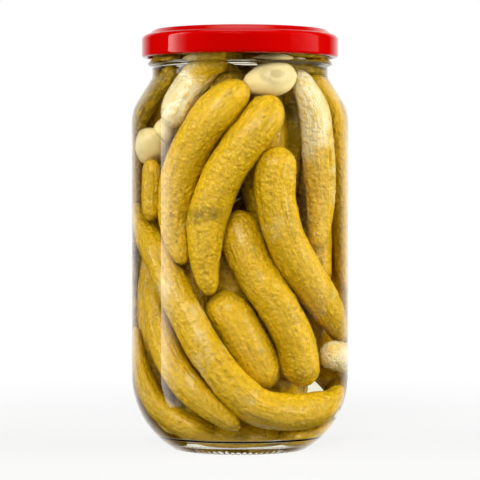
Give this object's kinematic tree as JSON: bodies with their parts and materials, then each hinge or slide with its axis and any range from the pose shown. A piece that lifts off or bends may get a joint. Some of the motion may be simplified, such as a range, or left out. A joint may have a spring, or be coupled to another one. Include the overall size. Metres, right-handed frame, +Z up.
{
  "type": "pickle jar",
  "caption": "Tall clear glass preserving jar with a red metal twist-off lid, packed with whole gherkins and garlic cloves in brine.",
  "frame": {"origin": "centre of the ring that the jar stands on, at the height of the surface under it", "axes": "+Z up the jar's axis to the lid, -Y towards the side that is shown, +X to its right"},
  "size_m": [0.094, 0.094, 0.1814],
  "materials": {
    "glass": "clear, polished by the mould",
    "brine": "clear liquid",
    "lid_red": "gloss lacquer on tinplate",
    "gherkin": "wet, ridged and warty skin",
    "garlic": "wet, smooth flesh"
  },
  "bodies": {
    "root": {"jar": "glass", "brine": "brine", "lid": "lid_red"}
  },
  "joints": []
}
